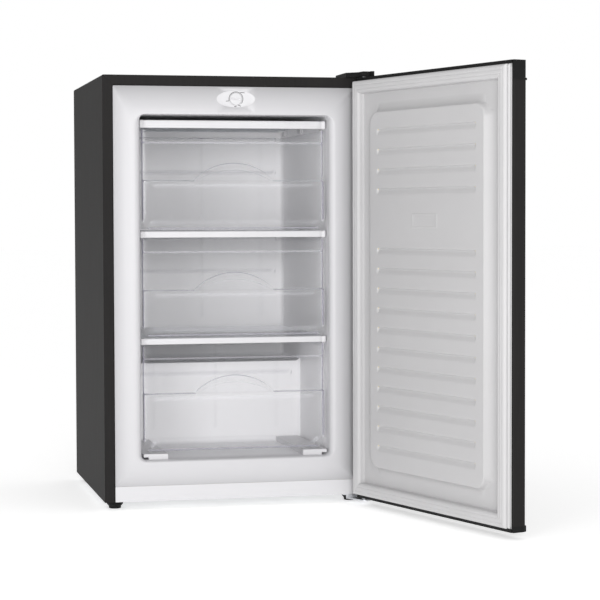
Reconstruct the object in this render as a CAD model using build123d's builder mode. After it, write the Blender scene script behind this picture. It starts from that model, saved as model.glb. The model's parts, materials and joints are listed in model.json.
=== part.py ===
from build123d import *
import os

# Under-counter upright freezer: one insulated door on the right, three clear drawers between
# three evaporator shelves, a compressor bay low at the back and a wire condenser on the back.
# Millimetres. +X is the right side seen from the front, -Y is the front, +Z is up. The origin
# is on the floor at the centre of the four feet. The door stands open, as it is drawn here.

os.makedirs("parts", exist_ok=True)

# ---- driving dimensions -------------------------------------------------------------------
width = 525.0
height = 845.0
depth = 480.0  # the cabinet alone, without its door
ground = 16.0  # underside of the cabinet above the floor
sheet = 0.8  # steel sheet
wall = 1.5  # vacuum-formed white plastic

front = -depth / 2
back = depth / 2
side = width / 2

frame_width = 18.4  # black rim of the shell round the white front
frame_step = 3.6  # depth of the shadow groove behind that rim
liner_side = side - 20.8
liner_top = height - 20.8
liner_front = front + 0.8
kick_top = 46.2
kick_gap = 0.3

mouth_side = 200.6  # the opening where it meets the front
mouth_low = 91.0
mouth_high = 770.0
mouth_radius = 22.0
throat_depth = 12.0
cavity_side = 189.0
cavity_low = 96.0
cavity_high = 769.0
cavity_back = 190.0
cavity_radius = 10.0
step_front = 30.0  # the cavity floor steps up here over the compressor bay
step_top = 266.0

bay_front = 75.0
bay_top = 221.0
bay_side = 244.2

door_gap = 14.5
door_thick = 30.0
door_low = 13.0
door_high = 843.0
door_inner = front - door_gap
door_outer = door_inner - door_thick
cap_top_low = 808.0
cap_bottom_high = 24.0
hinge_x = side - 11.0
hinge_y = door_inner - 12.0
door_open = 106.8
pin_radius = 3.5
bush_radius = 5.5
pin_clearance = 0.05

foot_x = 238.0
foot_y = 200.0
foot_radius = 12.0
foot_flange = 16.0
foot_high = 13.5
stud_radius = 4.0

drawer_side = 182.0
drawer_front = -218.0
drawer_step = -208.0  # the upper part of a drawer front stands back to here
tub_front = -205.5
clear_wall = 2.5
runner_high = 3.6

shelf_half = 186.0
shelf_front = -214.0
shelf_bar = 10.0
shelf_back = 180.0
tube_radius = 3.5

# Each compartment: its name, and the heights of the shelf bar above it, of its drawer's
# front, of the step in that front and of the surface that its drawer slides on.
compartments = [
    {"name": "top", "bar": (744.0, 760.0), "front": (547.0, 741.0), "step": 642.0,
     "track": 542.8, "rear": 175.0},
    {"name": "middle", "bar": (529.5, 542.6), "front": (337.0, 526.5), "step": 427.0,
     "track": 332.6, "rear": 175.0},
    {"name": "bottom", "bar": (320.0, 332.4), "front": (111.0, 317.0), "step": 224.0,
     "track": 106.8, "rear": 22.0},
]

hinge_axis = Axis((hinge_x, hinge_y, 0), (0, 0, 1))


def block(x, y, z, mode=Mode.ADD):
    """A box from its low and high limits along each axis."""
    with Locations(Vector((x[0] + x[1]) / 2, (y[0] + y[1]) / 2, (z[0] + z[1]) / 2)):
        Box(x[1] - x[0], y[1] - y[0], z[1] - z[0], mode=mode)


def rod(centre, z, radius, mode=Mode.ADD):
    """An upright cylinder from its centre in plan and its low and high limits."""
    with Locations(Vector(centre[0], centre[1], (z[0] + z[1]) / 2)):
        Cylinder(radius, z[1] - z[0], mode=mode)


def slab(x, z, y, radius, mode=Mode.ADD):
    """A plate with rounded corners that faces the front."""
    with BuildSketch(Plane.XZ.offset(-y[1])) as outline:
        with Locations(((x[0] + x[1]) / 2, (z[0] + z[1]) / 2)):
            RectangleRounded(x[1] - x[0], z[1] - z[0], radius)
    extrude(outline.sketch, amount=y[1] - y[0], mode=mode)


def cavity_block(skin):
    """The inside of the cabinet grown outwards by skin: a flared mouth, a straight throat,
    and a step up at the back over the compressor bay."""
    with BuildPart() as hollow:
        with BuildSketch(Plane.XZ.offset(-liner_front)):
            with Locations((0, (mouth_low + mouth_high) / 2)):
                RectangleRounded(2 * (mouth_side + skin), mouth_high - mouth_low + 2 * skin,
                                 mouth_radius + skin)
        with BuildSketch(Plane.XZ.offset(-liner_front - throat_depth)):
            with Locations((0, (cavity_low + cavity_high) / 2)):
                RectangleRounded(2 * (cavity_side + skin), cavity_high - cavity_low + 2 * skin,
                                 cavity_radius + skin)
        loft(ruled=True)
        slab((-cavity_side - skin, cavity_side + skin), (cavity_low - skin, cavity_high + skin),
             (liner_front + throat_depth, cavity_back + skin), cavity_radius + skin)
        block((-side, side), (step_front + skin, cavity_back + 10), (0, step_top - skin),
              mode=Mode.SUBTRACT)
    return hollow.part


def tube(points, radius, bend, plane_normal):
    """A round tube along straight runs joined by arcs of one bend radius."""
    with BuildLine() as route:
        FilletPolyline(*points, radius=bend)
    with BuildSketch(Plane(origin=points[0], z_dir=plane_normal)) as section:
        Circle(radius)
    sweep(section.sketch, path=route.line)


def snake(half, start, pitch, passes):
    """Corner points of a coil that runs to and fro across the cabinet."""
    corners = []
    for run in range(passes):
        across = (half, -half) if run % 2 else (-half, half)
        for x in across:
            corners.append((x, start + run * pitch))
    return corners


cavity = cavity_block(0)
cavity_skin = cavity_block(wall)

# ---- cabinet casing -----------------------------------------------------------------------
with BuildPart() as outer_shell:
    with BuildSketch(Plane.XZ.offset(-back)) as wrap:
        with Locations((0, (ground + height) / 2)):
            Rectangle(width, height - ground)
        fillet(wrap.vertices().group_by(Axis.Y)[-1], 3.0)
        with Locations((0, (ground + height - sheet) / 2)):
            Rectangle(width - 2 * sheet, height - sheet - ground, mode=Mode.SUBTRACT)
    extrude(amount=depth)
    for inset, reach, face in (
        (sheet / 2, frame_width, front),
        (frame_width, frame_width + 7.0, front + frame_step - sheet),
    ):
        with BuildSketch(Plane.XZ.offset(-face - sheet)) as rim:
            with Locations((0, (ground + height - inset) / 2)):
                Rectangle(width - 2 * inset, height - inset - ground)
            with Locations((0, (ground + height - reach) / 2)):
                Rectangle(width - 2 * reach, height - reach - ground, mode=Mode.SUBTRACT)
        extrude(amount=sheet)
    with BuildSketch(Plane.XZ.offset(-front - frame_step)) as groove_side:
        with Locations((0, (ground + height - frame_width + sheet) / 2)):
            Rectangle(width - 2 * (frame_width - sheet), height - frame_width + sheet - ground)
        with Locations((0, (ground + height - frame_width) / 2)):
            Rectangle(width - 2 * frame_width, height - frame_width - ground,
                      mode=Mode.SUBTRACT)
    extrude(amount=frame_step)
    for x in (-1, 1):
        mitre = Plane(origin=(x * (side - frame_width / 2), front, height - frame_width / 2),
                      x_dir=(x, 0, 1), z_dir=(0, -1, 0))
        with BuildSketch(mitre):
            Rectangle(1.5 * frame_width, 0.6)
        extrude(amount=-sheet / 2, mode=Mode.SUBTRACT)
outer_shell.part.label = "outer_shell"
export_step(outer_shell.part, "parts/outer_shell.step")

inside = side - sheet
pan_top = ground + 1.0
with BuildPart() as back_panel:
    block((-inside, inside), (back - sheet, back), (pan_top, height - sheet))
    block((-bay_side - sheet, bay_side + sheet), (back - 2, back + 2), (0, bay_top + sheet),
          mode=Mode.SUBTRACT)
    for z in (420.0, 600.0):
        with BuildSketch(Plane.XZ.offset(-back)):
            with Locations((0, z)):
                SlotOverall(300, 8)
        extrude(amount=sheet / 2, mode=Mode.SUBTRACT)
back_panel.part.label = "back_panel"
export_step(back_panel.part, "parts/back_panel.step")

with BuildPart() as base_pan:
    block((-inside, inside), (front + 4, back), (ground, pan_top))
    for x in (-foot_x, foot_x):
        for y in (-foot_y, foot_y):
            rod((x, y), (ground, pan_top), stud_radius + 0.4, mode=Mode.SUBTRACT)
    with BuildSketch(Plane.XY.offset(ground)):
        with GridLocations(26, 0, 6, 1):
            with Locations((-95, 155)):
                SlotOverall(90, 8, rotation=90)
    extrude(amount=1.0, mode=Mode.SUBTRACT)
base_pan.part.label = "base_pan"
export_step(base_pan.part, "parts/base_pan.step")

with BuildPart() as bay_panel:
    block((-bay_side - sheet, bay_side + sheet), (bay_front, back), (pan_top, bay_top + sheet))
    block((-bay_side, bay_side), (bay_front + sheet, back), (pan_top, bay_top),
          mode=Mode.SUBTRACT)
bay_panel.part.label = "bay_panel"
export_step(bay_panel.part, "parts/bay_panel.step")

thermostat_z = 800.5
knob_radius = 12.0
knob_bore = knob_radius + 0.4
thermostat_half = 22.0
thermostat_deep = 42.0
body_front = liner_front + 3.6
nut_pocket = 9.0
with BuildPart() as cabinet_foam:
    block((-inside, inside), (front + frame_step, back - sheet), (pan_top, height - sheet))
    fillet(cabinet_foam.edges().filter_by(Axis.Y).group_by(Axis.Z)[-1], 3.0)
    block((-side + 26, side - 26), (liner_front + wall, front + frame_step),
          (pan_top, height - 26))
    add(cavity_skin, mode=Mode.SUBTRACT)
    block((-bay_side - sheet, bay_side + sheet), (bay_front, back), (0, bay_top + sheet),
          mode=Mode.SUBTRACT)
    block((-thermostat_half, thermostat_half), (front, body_front + thermostat_deep),
          (thermostat_z - thermostat_half, thermostat_z + thermostat_half - 6),
          mode=Mode.SUBTRACT)
    for x in (-foot_x, foot_x):
        rod((x, -foot_y), (pan_top, 52), nut_pocket, mode=Mode.SUBTRACT)
cabinet_foam.part.label = "cabinet_foam"
export_step(cabinet_foam.part, "parts/cabinet_foam.step")

with BuildPart() as inner_liner:
    block((-liner_side, liner_side), (liner_front, liner_front + wall), (kick_top, liner_top))
    add(cavity_skin)
    add(cavity, mode=Mode.SUBTRACT)
    with BuildSketch(Plane.XZ.offset(-liner_front - wall)):
        with Locations((0, thermostat_z)):
            Circle(knob_bore)
    extrude(amount=2 * wall, mode=Mode.SUBTRACT)
inner_liner.part.label = "inner_liner"
export_step(inner_liner.part, "parts/inner_liner.step")

with BuildPart() as kick_strip:
    block((-liner_side, liner_side), (liner_front, liner_front + wall),
          (ground + kick_gap, kick_top - kick_gap))
kick_strip.part.label = "kick_strip"
export_step(kick_strip.part, "parts/kick_strip.step")

# ---- thermostat ---------------------------------------------------------------------------
plate_proud = 0.5
with BuildPart() as thermostat_plate:
    with BuildSketch(Plane.XZ.offset(-liner_front)):
        with Locations((0, thermostat_z)):
            Ellipse(38.5, 16.5)
            Circle(knob_bore, mode=Mode.SUBTRACT)
    extrude(amount=plate_proud)
thermostat_plate.part.label = "thermostat_plate"
export_step(thermostat_plate.part, "parts/thermostat_plate.step")

knob_front = front + 0.15
with BuildPart() as thermostat_knob:
    with BuildSketch(Plane.XZ.offset(-knob_front - 3.0)):
        with Locations((0, thermostat_z)):
            Circle(knob_radius)
    extrude(amount=3.0)
    with BuildSketch(Plane.XZ.offset(-knob_front - 14.0)):
        with Locations((0, thermostat_z)):
            Circle(3.0)
    extrude(amount=11.5)
    with BuildSketch(Plane.XZ.offset(-knob_front)):
        with Locations((0, thermostat_z)):
            SlotOverall(19, 2.4, rotation=-8)
    extrude(amount=-1.6, mode=Mode.SUBTRACT)
thermostat_knob.part.label = "thermostat_knob"
export_step(thermostat_knob.part, "parts/thermostat_knob.step")

with BuildPart() as thermostat_body:
    block((-thermostat_half, thermostat_half), (body_front, body_front + thermostat_deep),
          (thermostat_z - thermostat_half, thermostat_z + thermostat_half - 6))
    with BuildSketch(Plane.XZ.offset(-body_front)):
        with Locations((0, thermostat_z)):
            Circle(3.0 + pin_clearance)
    extrude(amount=-14.0, mode=Mode.SUBTRACT)
thermostat_body.part.label = "thermostat_body"
export_step(thermostat_body.part, "parts/thermostat_body.step")

# ---- evaporator shelves -------------------------------------------------------------------
plate_thick = 1.4
coil_half = 165.0
coil_front = -192.0
coil_pitch = 40.0
bracket_inner = 183.5
bracket_tall = 14.0
for space in compartments:
    low, high = space["bar"]
    plate_top = high - 0.2
    plate_low = plate_top - plate_thick
    with BuildPart() as shelf_plate:
        block((-shelf_half, shelf_half), (shelf_front + shelf_bar, shelf_back),
              (plate_low, plate_top))
    shelf_plate.part.label = f"shelf_plate_{space['name']}"
    export_step(shelf_plate.part, f"parts/shelf_plate_{space['name']}.step")

    with BuildPart() as shelf_front_bar:
        block((-shelf_half, shelf_half), (shelf_front, shelf_front + shelf_bar), (low, high))
        fillet(shelf_front_bar.edges().filter_by(Axis.X), 2.5)
    shelf_front_bar.part.label = f"shelf_front_{space['name']}"
    export_step(shelf_front_bar.part, f"parts/shelf_front_{space['name']}.step")

    coil_z = plate_low - tube_radius
    coil = [(x, y, coil_z) for x, y in snake(coil_half, coil_front, coil_pitch, 9)]
    with BuildPart() as evaporator_tube:
        tube(coil, tube_radius, 18.0, (1, 0, 0))
    evaporator_tube.part.label = f"evaporator_tube_{space['name']}"
    export_step(evaporator_tube.part, f"parts/evaporator_tube_{space['name']}.step")

with BuildPart() as shelf_brackets:
    for space in compartments:
        plate_low = space["bar"][1] - 0.2 - plate_thick
        for x in (-1, 1):
            reach = sorted((x * bracket_inner, x * cavity_side))
            for y in (-190.0, 0.0, 150.0):
                block(reach, (y, y + 24), (plate_low - bracket_tall, plate_low))
shelf_brackets.part.label = "shelf_brackets"
export_step(shelf_brackets.part, "parts/shelf_brackets.step")

runner_top = compartments[2]["track"] - 0.2
with BuildPart() as drawer_runners:
    for x in (-1, 1):
        reach = sorted((x * 136.0, x * 174.0))
        block(reach, (-226, step_front - 2), (cavity_low, runner_top))
        block(sorted((x * 174.0, x * 184.0)), (-226, step_front - 2),
              (cavity_low + 4.5, runner_top))
drawer_runners.part.label = "drawer_runners"
export_step(drawer_runners.part, "parts/drawer_runners.step")

# ---- drawers ------------------------------------------------------------------------------
arch_half = 81.0
arch_rise = 35.0
arch_band = 14.5
rim_band = 25.0
for space in compartments:
    low, high = space["front"]
    step = space["step"]
    floor = space["track"] + 0.5 + runner_high
    with BuildPart() as tub:
        slab((-drawer_side, drawer_side), (floor, high + 40), (tub_front, space["rear"]), 15)
        slab((clear_wall - drawer_side, drawer_side - clear_wall),
             (floor + clear_wall, high + 40), (tub_front, space["rear"] - clear_wall), 12.5,
             mode=Mode.SUBTRACT)
        block((-side, side), (front, back), (high, high + 60), mode=Mode.SUBTRACT)
        for x in (-150.0, 150.0):
            block((x - 5, x + 5), (tub_front, space["rear"]), (floor - runner_high, floor))
    tub.part.label = f"drawer_tub_{space['name']}"
    export_step(tub.part, f"parts/drawer_tub_{space['name']}.step")

    with BuildPart() as panel:
        slab((-drawer_side, drawer_side), (low, high + 40), (drawer_front, tub_front), 15)
        block((-side, side), (front, back), (high, high + 60), mode=Mode.SUBTRACT)
        slab((clear_wall - drawer_side, drawer_side - clear_wall),
             (low + clear_wall, step - clear_wall), (drawer_front + clear_wall, tub_front),
             6, mode=Mode.SUBTRACT)
        block((-side, side), (front, drawer_step), (step, high + 10), mode=Mode.SUBTRACT)
        block((-drawer_side, drawer_side), (drawer_step - 2, drawer_step),
              (high - rim_band, high))
        with BuildSketch(Plane.XZ.offset(-drawer_front - 5.0)):
            with BuildLine():
                ThreePointArc((-arch_half, step), (0, step + arch_rise), (arch_half, step))
                Line((arch_half, step), (arch_half - arch_band, step))
                ThreePointArc((arch_half - arch_band, step), (0, step + arch_rise - arch_band),
                              (arch_band - arch_half, step))
                Line((arch_band - arch_half, step), (-arch_half, step))
            make_face()
        extrude(amount=5.0)
    panel.part.label = f"drawer_front_{space['name']}"
    export_step(panel.part, f"parts/drawer_front_{space['name']}.step")

# ---- compressor bay -----------------------------------------------------------------------
pot_x = 40.0
pot_y = 158.0
pot_radius = 68.0
plate_z = 27.0
pot_seam = 110.0
with BuildPart() as compressor_shell:
    rod((pot_x, pot_y), (32, 187), pot_radius)
    fillet(compressor_shell.edges().filter_by(GeomType.CIRCLE).sort_by(Axis.Z)[-1], 34)
    fillet(compressor_shell.edges().filter_by(GeomType.CIRCLE).sort_by(Axis.Z)[0], 16)
    rod((pot_x, pot_y), (pot_seam - 2, pot_seam + 2), pot_radius + 5)
compressor_shell.part.label = "compressor_shell"
export_step(compressor_shell.part, "parts/compressor_shell.step")

bolt_spots = [(pot_x + x * 82, pot_y + y * 48) for x in (-1, 1) for y in (-1, 1)]
with BuildPart() as compressor_base:
    with BuildSketch(Plane.XY.offset(plate_z)):
        with Locations((pot_x, pot_y)):
            RectangleRounded(194, 122, 14)
        with Locations(*bolt_spots):
            Circle(5.2, mode=Mode.SUBTRACT)
    extrude(amount=3)
    rod((pot_x, pot_y), (plate_z + 3, 32), 50)
compressor_base.part.label = "compressor_base"
export_step(compressor_base.part, "parts/compressor_base.step")

with BuildPart() as compressor_grommets:
    for spot in bolt_spots:
        rod(spot, (pan_top, plate_z), 10.5)
        rod(spot, (plate_z, plate_z + 3), 5.2)
        rod(spot, (plate_z + 3, plate_z + 7), 9.0)
        rod(spot, (pan_top, plate_z + 7), 3.2, mode=Mode.SUBTRACT)
compressor_grommets.part.label = "compressor_grommets"
export_step(compressor_grommets.part, "parts/compressor_grommets.step")

with BuildPart() as compressor_bolts:
    for spot in bolt_spots:
        rod(spot, (pan_top, plate_z + 7), 3.0)
        rod(spot, (plate_z + 7, plate_z + 12), 6.5)
compressor_bolts.part.label = "compressor_bolts"
export_step(compressor_bolts.part, "parts/compressor_bolts.step")

with BuildPart() as terminal_cover:
    block((pot_x - 106, pot_x - 52), (pot_y - 26, pot_y + 26), (58, 104))
    fillet(terminal_cover.edges().filter_by(Axis.Z).group_by(Axis.X)[0], 6)
    rod((pot_x, pot_y), (40, 120), pot_radius, mode=Mode.SUBTRACT)
terminal_cover.part.label = "terminal_cover"
export_step(terminal_cover.part, "parts/terminal_cover.step")

coil_plane = back + 12.0
pipe = 2.4
condenser_low = 262.0
condenser_half = 205.0
condenser_pitch = 44.0
condenser_passes = 12
condenser_high = condenser_low + (condenser_passes - 1) * condenser_pitch
with BuildPart() as discharge_tube:
    tube([(pot_x + pot_radius, pot_y, 90), (175, pot_y, 90), (175, pot_y, 180),
          (175, coil_plane, 180), (175, coil_plane, 235),
          (-condenser_half - 22, coil_plane, 235),
          (-condenser_half - 22, coil_plane, condenser_low),
          (-condenser_half, coil_plane, condenser_low)], pipe, 10.0, (1, 0, 0))
discharge_tube.part.label = "discharge_tube"
export_step(discharge_tube.part, "parts/discharge_tube.step")

with BuildPart() as suction_tube:
    tube([(pot_x, pot_y - pot_radius, 130), (pot_x, 84, 130), (pot_x, 84, bay_top)],
         3.2, 5.0, (0, -1, 0))
suction_tube.part.label = "suction_tube"
export_step(suction_tube.part, "parts/suction_tube.step")

drier_x = -190.0
drier_y = 205.0
with BuildPart() as filter_drier:
    rod((drier_x, drier_y), (80, 160), 8.0)
    with Locations((drier_x, drier_y, 166)):
        Cone(8.0, 2.4, 12)
    with Locations((drier_x, drier_y, 74)):
        Cone(1.4, 8.0, 12)
filter_drier.part.label = "filter_drier"
export_step(filter_drier.part, "parts/filter_drier.step")

with BuildPart() as capillary_tube:
    tube([(drier_x, drier_y, 68), (drier_x, drier_y, 40), (drier_x, 95, 40),
          (drier_x, 95, bay_top)], 1.2, 12.0, (0, 0, -1))
capillary_tube.part.label = "capillary_tube"
export_step(capillary_tube.part, "parts/capillary_tube.step")

# ---- condenser ----------------------------------------------------------------------------
liquid_x = -condenser_half - 40.0
snake_points = [(x, coil_plane, z)
                for x, z in snake(condenser_half, condenser_low, condenser_pitch,
                                  condenser_passes)]
with BuildPart() as condenser_coil:
    tube(snake_points, pipe, 20.0, (1, 0, 0))
condenser_coil.part.label = "condenser_coil"
export_step(condenser_coil.part, "parts/condenser_coil.step")

with BuildPart() as liquid_tube:
    tube([(-condenser_half, coil_plane, condenser_high), (liquid_x, coil_plane,
          condenser_high), (liquid_x, coil_plane, 195), (drier_x, coil_plane, 195),
          (drier_x, drier_y, 195), (drier_x, drier_y, 172)], pipe, 10.0, (-1, 0, 0))
liquid_tube.part.label = "liquid_tube"
export_step(liquid_tube.part, "parts/liquid_tube.step")

wire_radius = 0.8
with BuildPart() as condenser_wires:
    with BuildSketch(Plane.XY.offset(condenser_low - 12)):
        with Locations((0, coil_plane + pipe + wire_radius)):
            with GridLocations(10, 0, 37, 1):
                Circle(wire_radius)
    extrude(amount=condenser_high - condenser_low + 24)
condenser_wires.part.label = "condenser_wires"
export_step(condenser_wires.part, "parts/condenser_wires.step")

with BuildPart() as condenser_clips:
    for x in (-196.0, 196.0):
        for run in (1, condenser_passes - 2):
            z = condenser_low + run * condenser_pitch
            block((x - 7, x + 7), (back, coil_plane - pipe), (z - 9, z + 9))
condenser_clips.part.label = "condenser_clips"
export_step(condenser_clips.part, "parts/condenser_clips.step")

with BuildPart() as cord_gland:
    with BuildSketch(Plane.XZ.offset(-back)):
        with Locations((222, 60)):
            RectangleRounded(30, 22, 4)
            Circle(4.5, mode=Mode.SUBTRACT)
    extrude(amount=16)
    block((206, bay_side), (back - 16, back - 12), (46, 74))
    with BuildSketch(Plane.XZ.offset(-back + 10)):
        with Locations((222, 60)):
            Circle(4.5)
    extrude(amount=8, mode=Mode.SUBTRACT)
cord_gland.part.label = "cord_gland"
export_step(cord_gland.part, "parts/cord_gland.step")

# ---- feet ---------------------------------------------------------------------------------
def foot(spot):
    """A round plastic foot on a threaded stud."""
    rod(spot, (0, 4), foot_radius)
    with Locations(Vector(spot[0], spot[1], 6.5)):
        Cone(foot_radius, foot_flange, 5)
    rod(spot, (9, foot_high), foot_flange)


for name, spot in (("front_left_foot", (-foot_x, -foot_y)),
                   ("front_right_foot", (foot_x, -foot_y))):
    with BuildPart() as levelling_foot:
        foot(spot)
        rod(spot, (foot_high, 44), stud_radius)
    levelling_foot.part.label = name
    export_step(levelling_foot.part, f"parts/{name}.step")

with BuildPart() as rear_feet:
    for x in (-foot_x, foot_x):
        foot((x, foot_y))
        rod((x, foot_y), (foot_high, ground), foot_flange)
        rod((x, foot_y), (ground, 30), stud_radius)
rear_feet.part.label = "rear_feet"
export_step(rear_feet.part, "parts/rear_feet.step")

with BuildPart() as foot_nuts:
    for x in (-foot_x, foot_x):
        with BuildSketch(Plane.XY.offset(pan_top)):
            with Locations((x, -foot_y)):
                RegularPolygon(7.5, 6)
                Circle(stud_radius + 0.35, mode=Mode.SUBTRACT)
        extrude(amount=7)
foot_nuts.part.label = "foot_nuts"
export_step(foot_nuts.part, "parts/foot_nuts.step")

# ---- hinges -------------------------------------------------------------------------------
leaf = 2.5
hinge_screws = ((232, -190), (251, -190), (238, -224))
with BuildPart() as top_hinge_bracket:
    with BuildSketch(Plane.XY.offset(height)):
        with BuildLine():
            Polyline((224, -176), (hinge_x + 8, -176), (hinge_x + 8, hinge_y))
            ThreePointArc((hinge_x + 8, hinge_y), (hinge_x, hinge_y - 8),
                          (hinge_x - 8, hinge_y))
            Polyline((hinge_x - 8, hinge_y), (224, -246), (224, -176))
        make_face()
        with Locations((hinge_x, hinge_y)):
            Circle(pin_radius, mode=Mode.SUBTRACT)
        with Locations(*hinge_screws):
            Circle(2.5, mode=Mode.SUBTRACT)
    extrude(amount=leaf)
top_hinge_bracket.part.label = "top_hinge_bracket"
export_step(top_hinge_bracket.part, "parts/top_hinge_bracket.step")

with BuildPart() as top_hinge_pin:
    rod((hinge_x, hinge_y), (door_high - 20, height + leaf + 1), pin_radius)
top_hinge_pin.part.label = "top_hinge_pin"
export_step(top_hinge_pin.part, "parts/top_hinge_pin.step")

with BuildPart() as top_hinge_screws:
    for spot in hinge_screws:
        rod(spot, (height, height + leaf), 2.5)
        rod(spot, (height + leaf, height + leaf + 2), 4.5)
top_hinge_screws.part.label = "top_hinge_screws"
export_step(top_hinge_screws.part, "parts/top_hinge_screws.step")

cover_top = height + 9.0
cover_side = side + 0.5
cover_nose = hinge_y - 24.0
with BuildPart() as top_hinge_cover:
    for grow, floor, roof, mode in ((0.0, height, cover_top, Mode.ADD),
                                    (-1.6, height, cover_top - 1.6, Mode.SUBTRACT)):
        with BuildSketch(Plane.XY.offset(floor)):
            with BuildLine():
                Polyline((hinge_x - 11 - grow, hinge_y), (220 - grow, -246 - grow),
                         (220 - grow, -164 + grow), (cover_side + grow, -164 + grow),
                         (cover_side + grow, cover_nose - grow),
                         (hinge_x - 8 - grow, cover_nose - grow),
                         (hinge_x - 11 - grow, hinge_y))
            make_face()
        extrude(amount=roof - floor, mode=mode)
    for low, high in ((cover_side - 6, cover_side - 4.5), (cover_side - 3, cover_side + 1)):
        block((low, high), (cover_nose - 9, cover_nose), (height, cover_top))
top_hinge_cover.part.label = "top_hinge_cover"
export_step(top_hinge_cover.part, "parts/top_hinge_cover.step")

arm_low = 7.0
arm_high = 9.6
arm_end = hinge_y - 6.0
with BuildPart() as bottom_hinge_bracket:
    block((216, 260), (front + 6, -160), (14, ground))
    rod((foot_x, -foot_y), (14, ground), stud_radius + 0.4, mode=Mode.SUBTRACT)
    block((222, 260), (front + 3.5, front + 6), (arm_low, ground))
    with BuildSketch(Plane.XY.offset(arm_low)):
        with BuildLine():
            Polyline((222, front + 6), (260, front + 6), (hinge_x + 11, arm_end))
            ThreePointArc((hinge_x + 11, arm_end), (hinge_x, arm_end - 9), (hinge_x - 11, arm_end))
            Polyline((hinge_x - 11, arm_end), (222, front + 6))
        make_face()
        with Locations((hinge_x, hinge_y)):
            Circle(pin_radius, mode=Mode.SUBTRACT)
    extrude(amount=arm_high - arm_low)
bottom_hinge_bracket.part.label = "bottom_hinge_bracket"
export_step(bottom_hinge_bracket.part, "parts/bottom_hinge_bracket.step")

with BuildPart() as bottom_hinge_pin:
    rod((hinge_x, hinge_y), (arm_low - 1, door_low + 20), pin_radius)
    rod((hinge_x, hinge_y), (arm_high, door_low - 0.3), 5.0)
bottom_hinge_pin.part.label = "bottom_hinge_pin"
export_step(bottom_hinge_pin.part, "parts/bottom_hinge_pin.step")

with BuildPart() as bottom_hinge_screws:
    for spot in ((222, -172), (254, -172)):
        rod(spot, (11.6, 14), 4.5)
bottom_hinge_screws.part.label = "bottom_hinge_screws"
export_step(bottom_hinge_screws.part, "parts/bottom_hinge_screws.step")

# ---- door, drawn shut and then swung open about its pins -----------------------------------
door_back = door_inner - wall  # plane that the white door lining lies on
lining_side = side - 5.0
lining_low = 19.5
lining_high = 837.0
plateau_side = 190.0
plateau_low = 84.0
plateau_high = 770.0
plateau_rise = 12.0
groove_half = 165.0
groove_tall = 12.0
groove_deep = 3.5
groove_first = 732.0
groove_pitch = 38.2
groove_heights = [groove_first - groove_pitch * row for row in range(17) if row not in (4, 5)]
badge_z = 562.0

with BuildPart() as door_panel:
    with BuildSketch(Plane.XY.offset(cap_bottom_high)) as skin:
        with Locations((0, (door_outer + door_back) / 2)):
            Rectangle(width, door_back - door_outer)
        fillet(skin.vertices().group_by(Axis.Y)[0], 6.0)
        fillet(skin.vertices().group_by(Axis.Y)[-1], 2.5)
        offset(amount=-sheet, mode=Mode.SUBTRACT)
        with Locations((0, door_back)):
            Rectangle(width - 40, 6, mode=Mode.SUBTRACT)
    extrude(amount=cap_top_low - cap_bottom_high)

with BuildPart() as door_top_cap:
    with BuildSketch(Plane.XY.offset(cap_top_low)) as lid:
        with Locations((0, (door_outer + door_back) / 2)):
            Rectangle(width, door_back - door_outer)
        fillet(lid.vertices().group_by(Axis.Y)[0], 6.0)
    extrude(amount=door_high - cap_top_low)
    block((-side + 4, side - 4), (door_back, door_inner), (lining_high, door_high))
    block((-side + 2.5, hinge_x - 12), (door_outer + 2.5, door_back - 2.5),
          (cap_top_low, door_high - 2.5), mode=Mode.SUBTRACT)
    block((-side + 3, side - 3), (door_outer - 2, door_outer + 0.5), (808, 812))
    rod((hinge_x, hinge_y), (door_high - 22, door_high), bush_radius, mode=Mode.SUBTRACT)

with BuildPart() as door_bottom_cap:
    with BuildSketch(Plane.XY.offset(door_low)) as sill:
        with Locations((0, (door_outer + door_back) / 2)):
            Rectangle(width, door_back - door_outer)
        fillet(sill.vertices().group_by(Axis.Y)[0], 6.0)
    extrude(amount=cap_bottom_high - door_low)
    block((-side + 4, side - 4), (door_back, door_inner), (door_low, lining_low))
    block((-side + 2.5, hinge_x - 12), (door_outer + 2.5, door_back - 2.5),
          (door_low + 2.5, cap_bottom_high), mode=Mode.SUBTRACT)
    block((-side + 3, side - 3), (door_outer - 2, door_outer + 0.5),
          (door_low, cap_bottom_high))
    rod((hinge_x, hinge_y), (cap_bottom_high, 38), bush_radius + 1.5)
    rod((hinge_x, hinge_y), (door_low, 36), bush_radius, mode=Mode.SUBTRACT)

with BuildPart() as door_top_bush:
    rod((hinge_x, hinge_y), (door_high - 21, door_high), bush_radius)
    rod((hinge_x, hinge_y), (door_high - 21, door_high), pin_radius + pin_clearance,
        mode=Mode.SUBTRACT)

with BuildPart() as door_bottom_bush:
    rod((hinge_x, hinge_y), (door_low, 36), bush_radius)
    rod((hinge_x, hinge_y), (door_low, 36), pin_radius + pin_clearance, mode=Mode.SUBTRACT)


def plateau_block(skin, mode=Mode.ADD):
    """The raised field of the door lining with its grooves, grown outwards by skin."""
    slab((-plateau_side - skin, plateau_side + skin), (plateau_low - skin, plateau_high + skin),
         (door_back, door_back + plateau_rise + skin), 25 + skin, mode=mode)


def grooves(skin, mode):
    """Level grooves with round ends pressed into the raised field."""
    face = door_back + plateau_rise + skin
    for z in groove_heights:
        with BuildSketch(Plane.XZ.offset(-face)) as groove:
            with Locations((0, z)):
                SlotOverall(2 * (groove_half - skin), groove_tall + 2 * wall - 2 * skin)
        extrude(groove.sketch, amount=groove_deep, mode=mode)


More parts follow.
